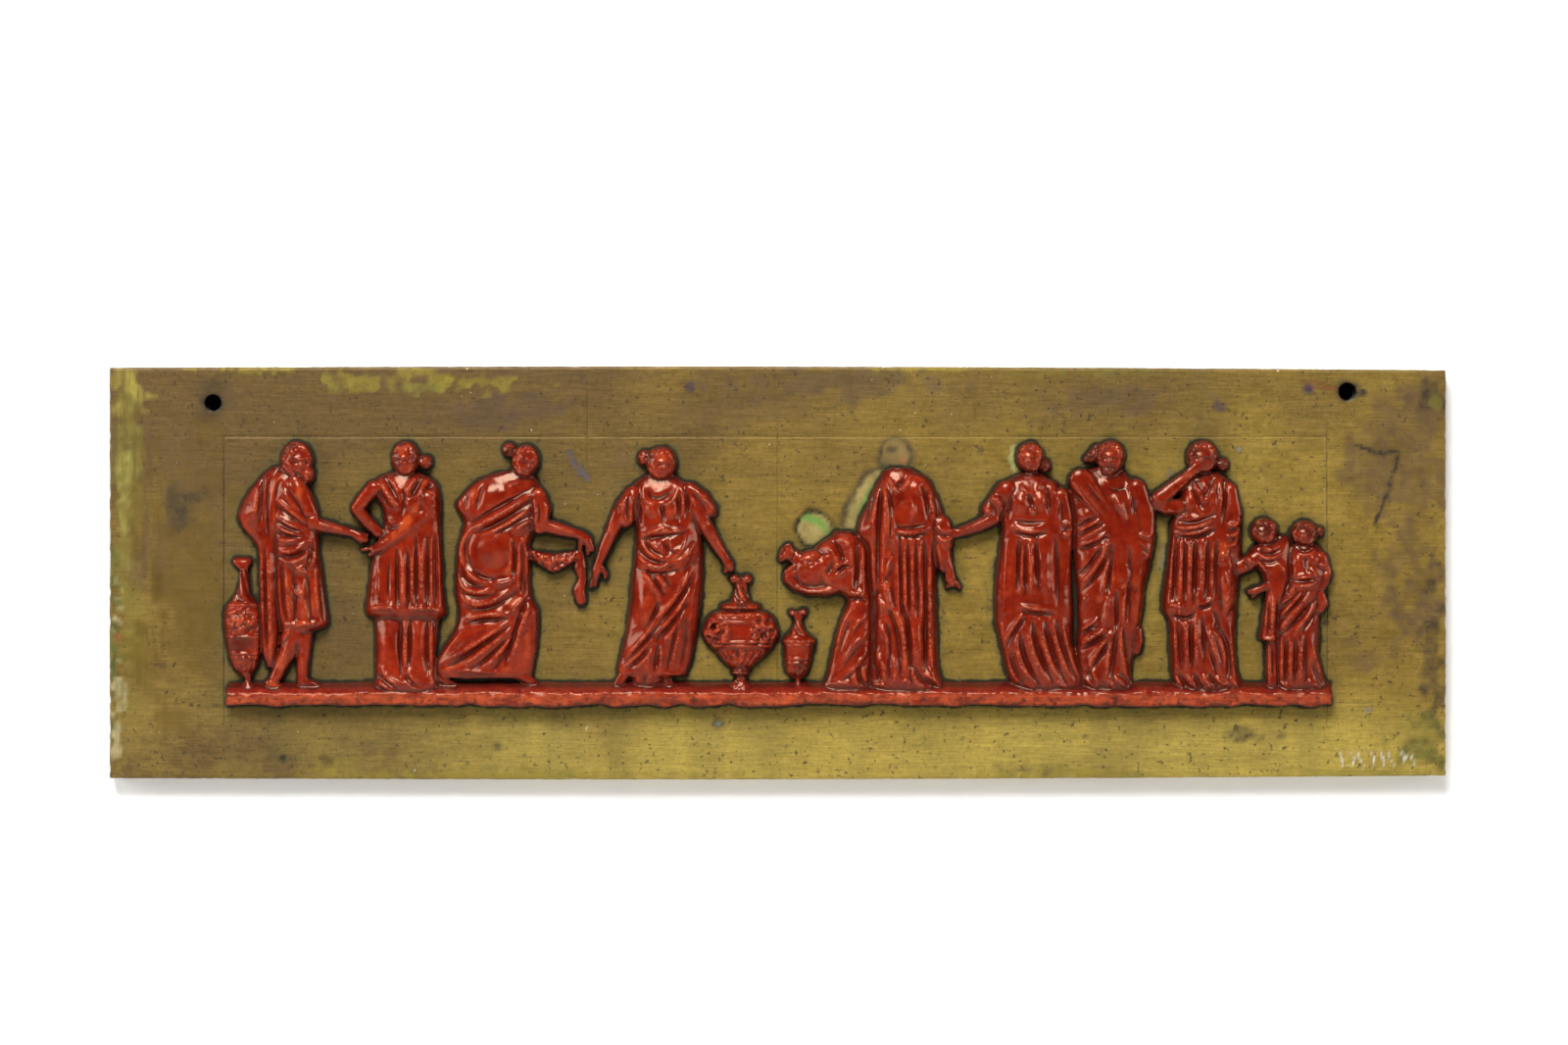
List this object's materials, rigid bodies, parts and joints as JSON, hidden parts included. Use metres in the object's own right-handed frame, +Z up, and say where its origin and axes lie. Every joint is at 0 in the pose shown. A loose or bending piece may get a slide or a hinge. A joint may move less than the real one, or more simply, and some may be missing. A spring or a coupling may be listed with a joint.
{
  "type": "relief plaque",
  "caption": "Long low-relief frieze of draped figures and vases modelled in red wax on an oblong brass plate with a fixing hole in each top corner.",
  "frame": {"origin": "centre of the plate's flat back face, where it lies against a wall", "axes": "+Z up, +X to the viewer's right along the frieze, +Y into the wall, so the relief faces -Y"},
  "size_m": [0.1908, 0.0066, 0.059],
  "materials": {
    "brass": "tarnished, brushed lengthways, green and brown stains",
    "wax": "glossy deep red wax, darker in the folds, worn orange on the high spots"
  },
  "bodies": {
    "root": {"brass_plate": "brass", "wax_frieze": "wax"}
  },
  "joints": []
}
